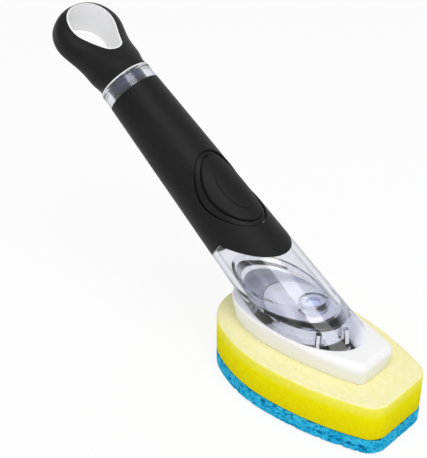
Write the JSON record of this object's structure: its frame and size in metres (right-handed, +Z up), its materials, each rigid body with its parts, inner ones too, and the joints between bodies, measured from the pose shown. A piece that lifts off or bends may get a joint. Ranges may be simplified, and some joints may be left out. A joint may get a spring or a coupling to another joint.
{
  "type": "dish wand",
  "caption": "Refillable dish wand: clear soap handle with a soft black grip and pump button, hanging cap, and a pull-off foam and cellulose sponge head on a white plate.",
  "frame": {"origin": "middle of the scrubbing face, under the sponge", "axes": "+X towards the squared tip of the sponge, +Z up from the scrubbing face; the handle rises towards -X"},
  "size_m": [0.2199, 0.0614, 0.1488],
  "materials": {
    "scrub": "open-pored cellulose",
    "foam": "fine open foam",
    "white_plastic": "satin",
    "clear_plastic": "clear gloss",
    "soft_black": "soft-touch matte",
    "black_plastic": "matte",
    "inner_plastic": "translucent satin",
    "plug_plastic": "satin",
    "silicone": "translucent soft",
    "black_silicone": "soft"
  },
  "bodies": {
    "handle": {"reservoir_body": "clear_plastic", "foot_base": "clear_plastic", "grip_sleeve": "soft_black", "slit_valve": "silicone", "valve_retainer": "inner_plastic", "pump_frame": "black_plastic", "pump_diaphragm": "black_silicone"},
    "pump": {"pump_pad": "soft_black"},
    "cap": {"cap_shell": "soft_black", "loop_liner": "white_plastic", "cap_plug": "plug_plastic", "plug_orings": "black_silicone", "cap_seal": "white_plastic"},
    "head": {"sponge_plate": "white_plastic", "foam_pad": "foam", "scrub_pad": "scrub", "port_gasket": "silicone"}
  },
  "joints": [
    {"name": "pump_press", "type": "slide", "parent": "handle", "child": "pump", "axis": [-0.5693, 0, -0.8221], "range_m": [0, 0.003], "stiffness_N_per_m": 900, "deforming": ["pump_diaphragm"]},
    {"name": "cap_pull", "type": "slide", "parent": "handle", "child": "cap", "axis": [-0.8221, 0, 0.5693], "range_m": [0, 0.04]},
    {"name": "head_release", "type": "slide", "parent": "handle", "child": "head", "axis": [0, 0, -1], "range_m": [0, 0.02]}
  ]
}
